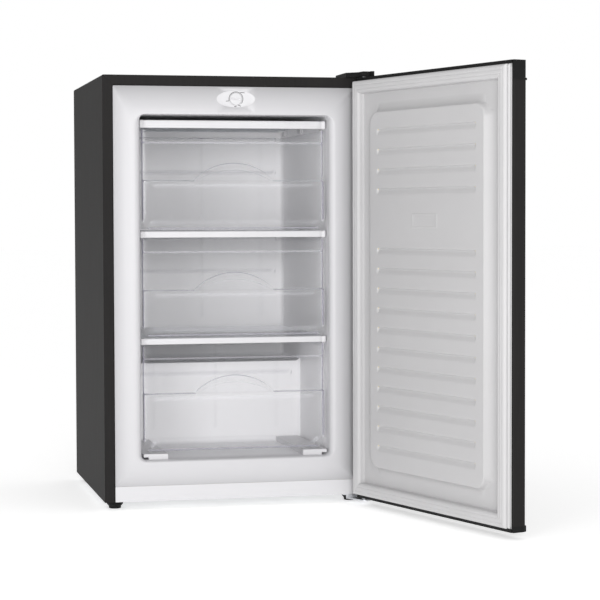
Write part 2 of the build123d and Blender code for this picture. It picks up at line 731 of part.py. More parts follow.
with BuildPart() as door_foam:
    block((-inside, inside), (door_outer + sheet, door_back - sheet),
          (cap_bottom_high, cap_top_low))
    fillet(door_foam.edges().filter_by(Axis.Z), 5.2)
    block((-plateau_side - 30, plateau_side + 30), (door_back - 4, door_back),
          (cap_bottom_high, cap_top_low))
    block((-side + 2.5, hinge_x - 12), (door_outer + 2.5, door_back - 2.5),
          (cap_top_low, door_high - 2.5))
    block((-side + 2.5, hinge_x - 12), (door_outer + 2.5, door_back - 2.5),
          (door_low + 2.5, cap_bottom_high))
    plateau_block(0)
    grooves(0, Mode.SUBTRACT)
    rod((hinge_x, hinge_y), (cap_bottom_high, 38), bush_radius + 1.5, mode=Mode.SUBTRACT)

with BuildPart() as door_lining:
    slab((-lining_side, lining_side), (lining_low, lining_high), (door_back, door_inner), 6)
    plateau_block(wall)
    plateau_block(0, Mode.SUBTRACT)
    for z in groove_heights:
        with BuildSketch(Plane.XZ.offset(-door_back - plateau_rise)):
            with Locations((0, z)):
                SlotOverall(2 * groove_half, groove_tall + 2 * wall)
        extrude(amount=groove_deep)
    grooves(wall, Mode.SUBTRACT)
    slab((-43, 43), (badge_z - 13.5, badge_z + 13.5),
         (door_back + plateau_rise + wall, door_back + plateau_rise + wall + 0.6), 3)

gasket_side = side - 5.5
gasket_low = 20.5
gasket_high = 836.0
gasket_width = 26.0
gasket_round = 7.0
gasket_front = front - 0.3
with BuildPart() as door_gasket:
    slab((-gasket_side, gasket_side), (gasket_low, gasket_high), (door_inner, gasket_front), 8)
    fillet(door_gasket.faces().sort_by(Axis.Y)[-1].edges(), gasket_round)
    slab((gasket_width - gasket_side, gasket_side - gasket_width),
         (gasket_low + gasket_width, gasket_high - gasket_width), (door_inner, gasket_front),
         1, mode=Mode.SUBTRACT)

door_pieces = {
    "door_panel": door_panel,
    "door_top_cap": door_top_cap,
    "door_bottom_cap": door_bottom_cap,
    "door_top_bush": door_top_bush,
    "door_bottom_bush": door_bottom_bush,
    "door_foam": door_foam,
    "door_lining": door_lining,
    "door_gasket": door_gasket,
}
for name, piece in door_pieces.items():
    swung = piece.part.rotate(hinge_axis, door_open)
    swung.label = name
    export_step(swung, f"parts/{name}.step")
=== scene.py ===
import json
import math
import bmesh
import bpy
import numpy as np
from mathutils import Matrix, Vector


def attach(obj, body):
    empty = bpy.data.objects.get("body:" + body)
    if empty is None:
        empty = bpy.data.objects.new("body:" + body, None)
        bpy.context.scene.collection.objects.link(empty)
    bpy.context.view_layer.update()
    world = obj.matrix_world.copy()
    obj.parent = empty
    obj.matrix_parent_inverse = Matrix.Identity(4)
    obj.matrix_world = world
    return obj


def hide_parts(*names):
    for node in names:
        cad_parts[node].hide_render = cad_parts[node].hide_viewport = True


# Under-counter freezer with its door open. Lengths in this script are millimetres until a mesh
# is made, and then metres. +X is right, -Y is the front, +Z is up.

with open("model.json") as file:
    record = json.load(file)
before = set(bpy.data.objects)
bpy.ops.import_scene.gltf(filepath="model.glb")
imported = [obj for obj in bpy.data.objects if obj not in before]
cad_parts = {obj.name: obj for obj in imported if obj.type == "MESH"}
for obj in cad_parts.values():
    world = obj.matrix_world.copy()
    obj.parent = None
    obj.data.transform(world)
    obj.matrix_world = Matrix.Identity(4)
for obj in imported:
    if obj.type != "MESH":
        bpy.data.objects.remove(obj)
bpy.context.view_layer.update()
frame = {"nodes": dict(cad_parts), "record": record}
nodes = frame["nodes"]
MM = 0.001

# ---- camera, light and floor ---------------------------------------------------------------
VIEW_FROM = Vector((-0.7476, -4.0272, 0.5709))
VIEW_YAW = 0.2270
VIEW_PITCH = -0.0425
VIEW_ROLL = -0.0030
LENS = 118.03


def turned(yaw, pitch, roll):
    """Rotation whose -Z looks along yaw to the right of +Y and up by pitch, rolled about it."""
    ahead = Vector((math.sin(yaw) * math.cos(pitch), math.cos(yaw) * math.cos(pitch),
                    math.sin(pitch)))
    across = Vector((math.cos(yaw), -math.sin(yaw), 0.0))
    upward = across.cross(ahead)
    side = math.cos(roll) * across + math.sin(roll) * upward
    top = math.cos(roll) * upward - math.sin(roll) * across
    return Matrix((side, top, -ahead)).transposed().to_4x4()


camera_data = bpy.data.cameras.new("camera")
camera_data.lens = LENS
camera_data.sensor_width = 36.0
camera_data.clip_end = 50.0
camera = bpy.data.objects.new("camera", camera_data)
camera.matrix_world = Matrix.Translation(VIEW_FROM) @ turned(VIEW_YAW, VIEW_PITCH, VIEW_ROLL)
bpy.context.scene.collection.objects.link(camera)
bpy.context.scene.camera = camera
bpy.context.scene.view_settings.view_transform = "Standard"

world = bpy.data.worlds.new("studio")
bpy.context.scene.world = world
world.use_nodes = True
backdrop = world.node_tree.nodes["Background"]
backdrop.inputs["Color"].default_value = (1.0, 1.0, 1.0, 1.0)
BACKDROP_LIGHT = 0.58  # how brightly the white backdrop lights the room, against how it looks
ray = world.node_tree.nodes.new("ShaderNodeLightPath")
level = world.node_tree.nodes.new("ShaderNodeMapRange")
level.inputs["To Min"].default_value = BACKDROP_LIGHT
world.node_tree.links.new(ray.outputs["Is Camera Ray"], level.inputs["Value"])
world.node_tree.links.new(level.outputs["Result"], backdrop.inputs["Strength"])


def soft_light(name, place, target, size, power):
    """A square area light that faces its target."""
    data = bpy.data.lights.new(name, "AREA")
    data.size = size
    data.energy = power
    lamp = bpy.data.objects.new(name, data)
    lamp.location = place
    lamp.rotation_euler = (Vector(target) - Vector(place)).to_track_quat("-Z", "Y").to_euler()
    bpy.context.scene.collection.objects.link(lamp)
    return lamp


soft_light("key_light", (-0.15, -3.8, 0.95), (0.0, 0.0, 0.45), 0.8, 40.0)
soft_light("left_light", (-1.6, -2.9, 0.60), (0.1, 0.1, 0.45), 0.9, 20.0)
soft_light("low_light", (-0.35, -3.0, 0.22), (0.05, 0.0, 0.22), 0.5, 3.0)


# ---- shader maths --------------------------------------------------------------------------
class Wire:
    """A shader socket. Sums and products of wires and numbers add their own Math nodes."""

    def __init__(self, tree, socket=None):
        self.tree = tree
        self.socket = socket

    def node(self, kind, settings, values, out=0):
        """Adds a node of that type: its settings first, then its sockets' values or links."""
        made = self.tree.nodes.new(kind)
        for key, value in settings.items():
            if key == "stops":
                ramp = made.color_ramp.elements
                while len(ramp) < len(value):
                    ramp.new(1.0)
                for element, (place, shade) in zip(ramp, value):
                    element.position = place
                    element.color = shade
            else:
                setattr(made, key, value)
        for key, value in values.items():
            if isinstance(value, Wire):
                self.tree.links.new(value.socket, made.inputs[key])
            else:
                made.inputs[key].default_value = value
        return Wire(self.tree, made.outputs[out])

    def maths(self, operation, first, second=0.0):
        return self.node("ShaderNodeMath", {"operation": operation}, {0: first, 1: second})

    def __add__(self, other):
        return self.maths("ADD", self, other)

    def __radd__(self, other):
        return self.maths("ADD", other, self)

    def __sub__(self, other):
        return self.maths("SUBTRACT", self, other)

    def __rsub__(self, other):
        return self.maths("SUBTRACT", other, self)

    def __mul__(self, other):
        return self.maths("MULTIPLY", self, other)

    def __rmul__(self, other):
        return self.maths("MULTIPLY", other, self)

    def power(self, exponent):
        return self.maths("POWER", self, exponent)

    def blend(self, low, high):
        """A colour that goes from low to high as this wire goes from 0 to 1."""
        return self.node("ShaderNodeMix", {"data_type": "RGBA"},
                         {"Factor": self, 6: (*low, 1.0), 7: (*high, 1.0)}, 2)


def finish(name, roughness=0.5, metallic=0.0, **fixed):
    """A new material, its first wire in object coordinates, and its Principled node."""
    material = bpy.data.materials.new(name)
    material.use_nodes = True
    shader = material.node_tree.nodes["Principled BSDF"]
    shader.inputs["Roughness"].default_value = roughness
    shader.inputs["Metallic"].default_value = metallic
    for key, value in fixed.items():
        shader.inputs[key.replace("_", " ")].default_value = value
    start = Wire(material.node_tree)
    place = start.node("ShaderNodeTexCoord", {}, {}, "Object")
    return material, place, shader


def noise(place, scale, detail=3.0, stretch=(1.0, 1.0, 1.0), rough=0.55):
    """Fractal noise from 0 to 1, finer along an axis whose stretch is larger."""
    scaled = place.node("ShaderNodeMapping", {}, {"Vector": place, "Scale": stretch})
    return place.node("ShaderNodeTexNoise", {}, {"Vector": scaled, "Scale": scale,
                                                 "Detail": detail, "Roughness": rough}, 0)


def feed(shader, socket, wire):
    wire.tree.links.new(wire.socket, shader.inputs[socket])


def bump(shader, height, distance, strength=1.0):
    feed(shader, "Normal", height.node("ShaderNodeBump", {},
                                       {"Height": height, "Distance": distance,
                                        "Strength": strength}))


def brushed_black():
    """Black painted steel with an upright brushed grain that shows in its gloss."""
    material, place, shader = finish("brushed_black_steel", 0.62, Specular_IOR_Level=0.10)
    grain = noise(place, 14.0, 5.0, (60.0, 60.0, 1.0))
    cloud = noise(place, 5.0, 2.0)
    tone = grain * 0.75 + cloud * 0.25
    feed(shader, "Base Color", tone.blend((0.008, 0.0075, 0.0075), (0.024, 0.0225, 0.022)))
    feed(shader, "Roughness", 0.52 + grain * 0.20)
    bump(shader, grain, 0.00012, 0.5)
    return material


def satin_plastic(name, low, high, roughness, grain_scale, grain_deep, gloss=0.5):
    """Moulded plastic: a slight cloudiness in its colour over a fine even grain."""
    material, place, shader = finish(name, roughness, Specular_IOR_Level=gloss)
    cloud = noise(place, 9.0, 2.0)
    grain = noise(place, grain_scale, 2.0)
    feed(shader, "Base Color", cloud.blend(low, high))
    feed(shader, "Roughness", (roughness - 0.05) + grain * 0.1)
    bump(shader, grain, grain_deep)
    return material


# Where the painted light on the liner's inside begins, and over what depth it fades in, in metres.
PAINTED_LIGHT_START = -0.230
PAINTED_LIGHT_FADE = 0.040


def cavity_painted_light_plastic():
    """The liner's white plastic with painted light: duller on the flat face, turning paler over
    the fade's depth behind its start and staying so to the back, to stand in for the little light
    inside."""
    material = satin_plastic("white_cavity_painted_light", (0.5, 0.5, 0.5), (0.5, 0.5, 0.5), 0.40, 260.0,
                             0.00005, 0.4)
    shader = material.node_tree.nodes["Principled BSDF"]
    start = Wire(material.node_tree)
    place = start.node("ShaderNodeTexCoord", {}, {}, "Object")
    along = place.node("ShaderNodeSeparateXYZ", {}, {"Vector": place}, "Y")
    # Painted light: the colour turns paler from the flat face into the cavity, in place of the
    # light that does not reach inside.
    deep = along.node("ShaderNodeMath", {"operation": "MULTIPLY_ADD", "use_clamp": True},
                      {0: along, 1: 1 / PAINTED_LIGHT_FADE, 2: -PAINTED_LIGHT_START / PAINTED_LIGHT_FADE})
    feed(shader, "Base Color", deep.blend((0.56, 0.555, 0.57), (0.84, 0.835, 0.85)))
    return material


def worn_metal(name, low, high, roughness, stretch=(1.0, 1.0, 1.0), scale=60.0):
    """Bare metal whose colour and gloss vary with a grain."""
    material, place, shader = finish(name, roughness, 1.0)
    grain = noise(place, scale, 4.0, stretch)
    feed(shader, "Base Color", grain.blend(low, high))
    feed(shader, "Roughness", (roughness - 0.08) + grain * 0.16)
    bump(shader, grain, 0.00006)
    return material


def spangled_zinc():
    """Galvanised sheet: angular patches of slightly different greys."""
    material, place, shader = finish("galvanised_sheet", 0.38, 0.9)
    patch = place.node("ShaderNodeTexVoronoi", {}, {"Vector": place, "Scale": 90.0}, "Color")
    shade = patch.node("ShaderNodeSeparateColor", {}, {"Color": patch}, "Red")
    feed(shader, "Base Color", shade.blend((0.40, 0.41, 0.42), (0.60, 0.61, 0.62)))
    feed(shader, "Roughness", 0.3 + shade * 0.18)
    return material


def foam_filling():
    """Rigid foam: straw yellow with open pores."""
    material, place, shader = finish("rigid_foam", 0.92)
    pores = place.node("ShaderNodeTexVoronoi", {}, {"Vector": place, "Scale": 420.0}, "Distance")
    feed(shader, "Base Color", pores.blend((0.62, 0.47, 0.20), (0.78, 0.66, 0.36)))
    bump(shader, pores, 0.0006)
    return material


def clear_plastic():
    """Clear moulded plastic: see-through face on, hazier at a glancing angle, and with painted
    shade, violet grey and cloudier, where the points' edge map marks a wall that is seen on edge."""
    material, place, shader = finish("clear_plastic", 0.10, IOR=1.5)
    haze = noise(place, 24.0, 2.0)
    facing = place.node("ShaderNodeLayerWeight", {}, {"Blend": 0.5}, "Facing")
    edge = place.node("ShaderNodeAttribute", {"attribute_name": "edge"}, {}, "Fac")
    body = 0.01 + haze * 0.02 + facing.power(4.0) * 0.20
    # Painted shade: where the edge map is high, the plastic turns violet grey and less clear.
    feed(shader, "Base Color", edge.blend((0.93, 0.93, 0.97), (0.26, 0.25, 0.32)))
    feed(shader, "Alpha", body + edge * 0.72)
    return material


finishes = {
    "black_steel": brushed_black(),
    "black_enamel": satin_plastic("black_enamel", (0.014, 0.014, 0.014), (0.026, 0.026, 0.026),
                                  0.40, 300.0, 0.00008, 0.3),
    "galvanised": spangled_zinc(),
    "zinc_steel": worn_metal("zinc_plating", (0.52, 0.53, 0.55), (0.72, 0.73, 0.76), 0.32),
    "aluminium": worn_metal("rolled_aluminium", (0.62, 0.63, 0.65), (0.78, 0.79, 0.81), 0.36,
                            (1.0, 30.0, 1.0)),
    "copper": worn_metal("drawn_copper", (0.62, 0.28, 0.15), (0.80, 0.42, 0.26), 0.30),
    "foam": foam_filling(),
    "white_plastic": satin_plastic("white_liner", (0.60, 0.595, 0.61), (0.63, 0.625, 0.64),
                                   0.40, 260.0, 0.00005, 0.4),
    "black_plastic": satin_plastic("black_moulding", (0.006, 0.006, 0.006),
                                   (0.012, 0.012, 0.012), 0.50, 700.0, 0.00010, 0.12),
    "clear_plastic": clear_plastic(),
    "white_rubber": satin_plastic("white_gasket", (0.50, 0.495, 0.50), (0.54, 0.535, 0.54),
                                  0.55, 500.0, 0.00005, 0.3),
    "black_rubber": satin_plastic("black_rubber", (0.013, 0.013, 0.013), (0.022, 0.022, 0.022),
                                  0.7, 900.0, 0.0001),
}
for entry in frame["record"]["subparts"]:
    node = nodes[entry["node"]]
    node.data.materials.clear()
    node.data.materials.append(finishes[entry["material_slot"]])


# ---- mesh helpers --------------------------------------------------------------------------
def grid_faces(rows, columns, around=False):
    """Quads between neighbouring points of a grid. around joins the last column to the first."""
    r = np.arange(rows - 1)[:, None]
    c = np.arange(columns if around else columns - 1)[None, :]
    n = (c + 1) % columns
    return np.stack([r * columns + c, r * columns + n, (r + 1) * columns + n,
                     (r + 1) * columns + c], -1).reshape(-1, 4)


def joined(*parts):
    """Several (points, faces) shells as one pair."""
    points, faces, start = [], [], 0
    for some_points, some_faces in parts:
        some_points = np.asarray(some_points, float).reshape(-1, 3)
        points.append(some_points)
        faces += [[int(i) + start for i in face] for face in some_faces]
        start += len(some_points)
    return np.concatenate(points), faces


def piece(name, shape, body, slot, stands_for=(), outward=True, sharp=35.0, edge=None):
    """A mesh from millimetre points and faces, merged, smooth but for its sharp edges. edge is
    how much painted shade each point takes as the dark edge line of a clear wall, from 0 to 1."""
    points, faces = shape
    mesh = bpy.data.meshes.new(name)
    mesh.from_pydata((np.asarray(points) * MM).tolist(), [], [list(f) for f in faces])
    if edge is not None:
        shown = mesh.attributes.new("edge", "FLOAT", "POINT")
        shown.data.foreach_set("value", np.asarray(edge, np.float32).ravel())
    work = bmesh.new()
    work.from_mesh(mesh)
    bmesh.ops.remove_doubles(work, verts=work.verts, dist=0.00002)
    bmesh.ops.dissolve_degenerate(work, edges=work.edges, dist=0.00001)
    bmesh.ops.delete(work, geom=[v for v in work.verts if not v.link_faces], context="VERTS")
    if outward:
        bmesh.ops.recalc_face_normals(work, faces=work.faces)
    work.to_mesh(mesh)
    work.free()
    mesh.shade_smooth()
    mesh.set_sharp_from_angle(angle=math.radians(sharp))
    mesh.materials.append(finishes[slot])
    made = bpy.data.objects.new(name, mesh)
    bpy.context.scene.collection.objects.link(made)
    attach(made, body)
    if stands_for:
        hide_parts(*stands_for)
    return made


def thicken(made, wall, offset=-1.0, rim_only=False):
    """A wall under the sheet. rim_only leaves clear sheets one face deep but for their rims."""
    shell = made.modifiers.new("wall", "SOLIDIFY")
    shell.use_rim_only = rim_only
    shell.thickness = wall * MM
    shell.offset = offset
    return made


def smooth_step(t):
    """0 below 0, 1 above 1 and 3t2 - 2t3 between."""
    t = np.clip(t, 0.0, 1.0)
    return t * t * (3 - 2 * t)


def ticks(*runs):
    """Sorted places from (start, end, count) runs, each place once."""
    return np.unique(np.round(np.concatenate([np.linspace(a, b, n) for a, b, n in runs]), 4))


def arc_points(cx, cz, radius, start, count=9):
    """A quarter circle from angle start, in degrees, turning anticlockwise."""
    angle = np.radians(start + np.linspace(0, 90, count))
    return np.stack([cx + radius * np.cos(angle), cz + radius * np.sin(angle)], -1)


def frame_loop(y, half, low, high, radius, window=40.0, side_points=7):
    """A rounded rectangle facing the front, anticlockwise, with two points on its top side at
    plus and minus window so that a hole between them can be cut."""
    up = np.linspace(low + radius, high - radius, side_points)[1:-1]
    across = np.linspace(-half + radius, half - radius, side_points)[1:-1]
    flat = np.concatenate([
        arc_points(half - radius, low + radius, radius, -90),
        np.stack([np.full(len(up), half), up], -1),
        arc_points(half - radius, high - radius, radius, 0),
        [(window, high), (-window, high)],
        arc_points(-half + radius, high - radius, radius, 90),
        np.stack([np.full(len(up), -half), up[::-1]], -1),
        arc_points(-half + radius, low + radius, radius, 180),
        np.stack([across, np.full(len(across), low)], -1)])
    return np.stack([flat[:, 0], np.full(len(flat), y), flat[:, 1]], -1)


def turned_shape(profile, centre, count=48, ripple=None):
    """A profile of (radius, height) pairs carried round an upright axis: x = r cos, y = r sin.
    ripple(angle, index) multiplies the radius."""
    profile = np.asarray(profile, float)
    angle = np.linspace(0, 2 * math.pi, count, endpoint=False)
    r = profile[:, :1] * np.ones((1, count))
    if ripple is not None:
        r = r * ripple(angle[None, :], np.arange(len(profile))[:, None])
    z = profile[:, 1:] * np.ones((1, count))
    points = np.stack([centre[0] + r * np.cos(angle), centre[1] + r * np.sin(angle),
                       centre[2] + z], -1)
    return points.reshape(-1, 3), grid_faces(len(profile), count, True)


# ---- white liner ---------------------------------------------------------------------------
LINER_FRONT = -239.2
LINER_HALF = 241.7
LINER_LOW = 46.2
LINER_HIGH = 824.2
MOUTH = {"half": 200.6, "low": 91.0, "high": 770.6, "radius": 22.0}
THROAT = {"half": 189.0, "low": 96.0, "high": 769.0, "radius": 10.0}
THROAT_DEEP = 12.0
DIAL_HEIGHT = 800.5
DIAL_HOLE = 12.45


def liner_shape():
    """Loops from the flat face, round a quarter-ellipse lip into the throat, straight back, up
    a step over the machinery and round into the back wall. The dial's hole is cut by a fan of
    faces between a circle and the four corners of a window in the flat face."""
    loops = [frame_loop(LINER_FRONT, LINER_HALF, LINER_LOW, LINER_HIGH, 1.5),
             frame_loop(LINER_FRONT, MOUTH["half"] + 0.4, MOUTH["low"] - 0.4,
                        MOUTH["high"] + 0.4, MOUTH["radius"])]
    for turn in np.radians(np.linspace(0, 90, 10)):
        out, back = 1 - math.sin(turn), 1 - math.cos(turn)
        loops.append(frame_loop(
            LINER_FRONT + THROAT_DEEP * back,
            THROAT["half"] + (MOUTH["half"] - THROAT["half"]) * out,
            THROAT["low"] + (MOUTH["low"] - THROAT["low"]) * out,
            THROAT["high"] + (MOUTH["high"] - THROAT["high"]) * out,
            THROAT["radius"] + (MOUTH["radius"] - THROAT["radius"]) * out))
    for y in (-180.0, -60.0, 22.0):
        loops.append(frame_loop(y, THROAT["half"], THROAT["low"], THROAT["high"], 10.0))
    for turn in np.radians(np.linspace(0, 90, 5)):
        loops.append(frame_loop(22 + 7 * math.sin(turn), THROAT["half"],
                                THROAT["low"] + 7 * (1 - math.cos(turn)), THROAT["high"], 10.0))
    for turn in np.radians(np.linspace(0, 90, 5)):
        loops.append(frame_loop(29.5 + 1.5 * (1 - math.cos(turn)), THROAT["half"],
                                264.5 + 1.5 * math.sin(turn), THROAT["high"], 10.0))
    for y in (60.0, 120.0):
        loops.append(frame_loop(y, THROAT["half"], 266.0, THROAT["high"], 10.0))
    for turn in np.radians(np.linspace(0, 90, 7)):
        shrink = 10 * (1 - math.cos(turn))
        loops.append(frame_loop(180 + 10 * math.sin(turn), THROAT["half"] - shrink,
                                266 + shrink, THROAT["high"] - shrink, 10.0 - 0.9 * shrink))
    points = np.stack(loops)
    rows, columns = points.shape[:2]
    faces = grid_faces(rows, columns, True).tolist()
    right = 9 + 5 + 9
    left = right + 1
    faces = [f for f in faces if f != [right, left, columns + left, columns + right]]
    angle = np.radians(np.arange(0, 360, 7.5))
    hole = np.stack([DIAL_HOLE * np.cos(angle), np.full(len(angle), LINER_FRONT),
                     DIAL_HEIGHT + DIAL_HOLE * np.sin(angle)], -1)
    start = rows * columns
    count = len(angle)
    corners = [right, left, columns + left, columns + right]
    quarter = count // 4
    for k, corner in enumerate(corners):
        for step in range(quarter):
            a = (k * quarter + step) % count
            faces.append([corner, start + (a + 1) % count, start + a])
        faces.append([corner, corners[(k + 1) % 4], start + ((k + 1) * quarter) % count])
    faces.append(list(range((rows - 1) * columns, rows * columns)))
    return np.concatenate([points.reshape(-1, 3), hole]), faces


liner = piece("liner", liner_shape(), "cabinet", "white_plastic", ["inner_liner"], False, 30.0)
liner.data.materials[0] = cavity_painted_light_plastic()
thicken(liner, 1.5)

# ---- door lining and gasket ----------------------------------------------------------------
HINGE = (251.5, -266.5)
DOOR_OPEN = math.radians(106.8)
DOOR_INNER = -254.5
LINING_HALF = 257.5
LINING_LOW = 19.5
LINING_HIGH = 837.0
FIELD = {"half": 197.0, "low": 77.0, "high": 777.0, "radius": 31.0}
FIELD_RISE = 12.0
FIELD_SLOPE = 6.5
GROOVE_HALF = 166.5
GROOVE_DEEP = 3.5
GROOVE_TALL = 15.0
GROOVES = [732.0 - 38.2 * row for row in range(17) if row not in (4, 5)]
BADGE_HEIGHT = 562.0


def swing(points):
    """Turns points of the shut door about its pins to where it stands open."""
    points = np.asarray(points, float).reshape(-1, 3)
    x, y = points[:, 0] - HINGE[0], points[:, 1] - HINGE[1]
    c, s = math.cos(DOOR_OPEN), math.sin(DOOR_OPEN)
    return np.stack([HINGE[0] + c * x - s * y, HINGE[1] + s * x + c * y, points[:, 2]], -1)


def inside_distance(x, z, half, low, high, radius):
    """How far a point is inside a rounded rectangle; negative outside."""
    qx = np.abs(x) - half + radius
    qz = np.abs(z - (low + high) / 2) - (high - low) / 2 + radius
    beyond = np.hypot(np.maximum(qx, 0), np.maximum(qz, 0))
    return radius - beyond - np.minimum(np.maximum(qx, qz), 0)


def lining_height(x, z):
    """Rise of the lining: a field with sloped, rounded edges; level grooves with a steep upper
    wall and a gentle lower one; and a blank pad with a raised rim."""
    inner = inside_distance(x, z, **FIELD)
    rise = FIELD_RISE * smooth_step(inner / FIELD_SLOPE)
    for level in GROOVES:
        fall = level + GROOVE_TALL / 2 - z
        wall = smooth_step(fall / 2.6) * (1 - smooth_step((fall - 2.6) / (GROOVE_TALL - 3.0)))
        ends = smooth_step((GROOVE_HALF - np.abs(x)) / 5.0)
        rise = rise - GROOVE_DEEP * wall * ends
    pad = inside_distance(x, z, 43.0, BADGE_HEIGHT - 13.5, BADGE_HEIGHT + 13.5, 3.0)
    rim = smooth_step(pad / 1.0) - 0.6 * smooth_step((pad - 2.5) / 1.0)
    return rise + 0.6 * rim


def lining_shape():
    """The height field above on a grid that is fine where the field, grooves and pad bend."""
    half = ticks((0, 40, 5), (40, 46, 9), (46, 158, 8), (158, 168, 15), (168, 172, 3),
                 (172, 193, 15), (193, 251, 6), (251, LINING_HALF, 5))
    x = np.concatenate([half, -half[::-1][:-1]])[::1]
    x = np.unique(x)[::-1]
    z = ticks((LINING_LOW, 80, 8), (80, 112, 20), (112, 742, 64), (742, 773, 20),
              (773, LINING_HIGH, 8), (BADGE_HEIGHT - 15, BADGE_HEIGHT - 8, 9),
              (BADGE_HEIGHT + 8, BADGE_HEIGHT + 15, 9),
              *[(level - 8.0, level + 8.0, 19) for level in GROOVES])
    gx, gz = np.meshgrid(x, z)
    edge = inside_distance(gx, gz, LINING_HALF, LINING_LOW, LINING_HIGH, 6.0)
    y = DOOR_INNER + lining_height(gx, gz) - 1.2 * (1 - smooth_step(edge / 2.5))
    points = np.stack([gx, y, gz], -1)
    return swing(points), grid_faces(len(z), len(x))


lining = piece("door_inner_lining", lining_shape(), "door", "white_plastic", ["door_lining"],
               False, 50.0)
# Painted shade: a darker copy of the white liner plastic, standing in for the shade on the open
# door's lining.
lining.data.materials[0] = satin_plastic("white_lining_painted_shade", (0.47, 0.465, 0.47),
                                         (0.50, 0.495, 0.50), 0.42, 260.0, 0.00005, 0.4)
thicken(lining, 1.4)

GASKET_HALF = 257.0
GASKET_LOW = 20.5
GASKET_HIGH = 836.0
# How far in from the outer edge and how high each point of the gasket's section is.
GASKET_SECTION = np.array([
    (3.0, 0.0), (0.6, 0.2), (0.0, 1.6), (0.4, 3.4), (2.2, 4.9), (2.6, 5.6), (2.0, 6.3),
    (0.8, 7.4), (0.5, 9.0), (0.9, 11.0), (2.2, 12.8), (4.4, 13.9), (6.6, 14.15), (8.6, 14.2),
    (9.4, 13.7), (10.2, 14.2), (13.0, 14.2), (16.0, 14.2), (16.8, 13.6), (17.6, 14.1),
    (20.5, 13.8), (22.8, 12.6), (24.4, 10.4), (25.2, 7.8), (24.6, 5.4), (25.4, 3.0),
    (26.0, 0.0)])
MITRE_DIP = 0.55


def gasket_shape():
    """The section carried along each straight side and mitred at the corners, where a thin
    seam dips. The soft ring wanders a fraction of a millimetre along its sides."""
    corners = np.array([(-GASKET_HALF, GASKET_LOW), (GASKET_HALF, GASKET_LOW),
                        (GASKET_HALF, GASKET_HIGH), (-GASKET_HALF, GASKET_HIGH)])
    inward = np.array([(1, 1), (-1, 1), (-1, -1), (1, -1)])
    stations = []
    for k in range(4):
        a, b = corners[k], corners[(k + 1) % 4]
        length = np.linalg.norm(b - a)
        along = np.unique(np.concatenate([[0.0, 0.7, 1.8], np.linspace(30, length - 30, 30),
                                          [length - 1.8, length - 0.7]]))
        for s in along:
            stations.append((k, s / length, min(s, length - s)))
    points = []
    for k, part, gap in stations:
        start = corners[k] + inward[k] * GASKET_SECTION[:, :1]
        end = corners[(k + 1) % 4] + inward[(k + 1) % 4] * GASKET_SECTION[:, :1]
        length = np.linalg.norm(corners[(k + 1) % 4] - corners[k])
        near = smooth_step(min(part, 1 - part) * length / 60.0)
        share = part if gap > 2.0 else (0.0 if part < 0.5 else 1.0)
        shift = gap if gap <= 2.0 else 0.0
        line = start + (end - start) * share
        heading = (end - start) / np.linalg.norm(end - start, axis=1)[:, None]
        line = line + heading * (shift if part < 0.5 else -shift)
        top = smooth_step((GASKET_SECTION[:, 1] - 7.0) / 4.0)
        dip = MITRE_DIP * top * (1.0 if gap == 0 else 0.0)
        deep = 2.2 * smooth_step(1 - np.abs(GASKET_SECTION[:, 0] - 22.5) / 2.5)
        wave = 0.12 * near * math.sin(part * 37.0 + k) * top
        y = DOOR_INNER + GASKET_SECTION[:, 1] - dip - (deep if gap == 0 else 0.0) + wave - 0.15
        points.append(np.stack([line[:, 0], y, line[:, 1]], -1))
    count = len(points)
    faces = grid_faces(count, len(GASKET_SECTION), True)
    last = (count - 1) * len(GASKET_SECTION)
    columns = len(GASKET_SECTION)
    closing = [[last + c, last + (c + 1) % columns, (c + 1) % columns, c]
               for c in range(columns)]
    return swing(np.stack(points)), faces.tolist() + closing


piece("door_seal", gasket_shape(), "door", "white_rubber", ["door_gasket"], True, 45.0)

# ---- drawers -------------------------------------------------------------------------------
DRAWER_HALF = 182.0
DRAWER_FACE = -218.0
DRAWER_STEP = -208.0
TUB_FRONT = -205.5
CLEAR_WALL = 2.3
ARCH_HALF = 81.0
ARCH_RISE = 35.0
ARCH_BAND = 14.5
drawers = {
    "top": {"low": 547.0, "high": 741.0, "step": 642.0, "floor": 546.9, "rear": 175.0},
    "middle": {"low": 337.0, "high": 526.5, "step": 427.0, "floor": 336.7, "rear": 175.0},
    "bottom": {"low": 111.0, "high": 317.0, "step": 224.0, "floor": 110.9, "rear": 22.0},
}


def circle_rise(x, half, rise):
    """Height of a circular arc of that half width and rise over its chord, 0 outside it."""
    radius = (half * half + rise * rise) / (2 * rise)
    return np.sqrt(np.maximum(radius ** 2 - np.minimum(np.abs(x), half) ** 2, 0)) + rise - radius


